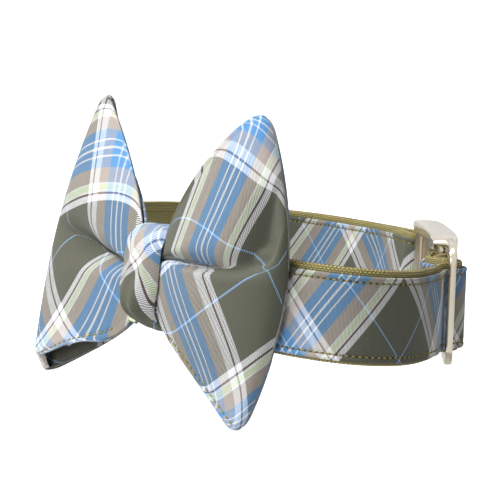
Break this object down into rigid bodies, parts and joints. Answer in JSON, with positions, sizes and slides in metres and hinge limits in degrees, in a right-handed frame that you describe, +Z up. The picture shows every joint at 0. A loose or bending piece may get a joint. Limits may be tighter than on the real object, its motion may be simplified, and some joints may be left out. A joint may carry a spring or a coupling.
{
  "type": "dog training collar with bow",
  "caption": "Adjustable webbing dog collar with a plaid ribbon face, metal slide, one-piece buckle and a plaid cloth bow.",
  "frame": {"origin": "on the surface the collar rests on, under the centre of its bounding box", "axes": "+Z up from the surface; +X along the width of the bow, towards its right-hand lobe as seen from the front; the bow faces -Y"},
  "size_m": [0.1736, 0.1382, 0.0824],
  "materials": {
    "webbing": "matte olive webbing",
    "plaid": "matte twill in an olive, blue, taupe and white plaid",
    "metal": "satin pale nickel",
    "buckle_metal": "satin pale champagne"
  },
  "bodies": {
    "root": {"strap_webbing": "webbing", "strap_face": "plaid", "slide": "metal", "buckle": "buckle_metal", "bow_lobe_right": "plaid", "bow_lobe_left": "plaid", "bow_knot": "plaid"}
  },
  "joints": []
}
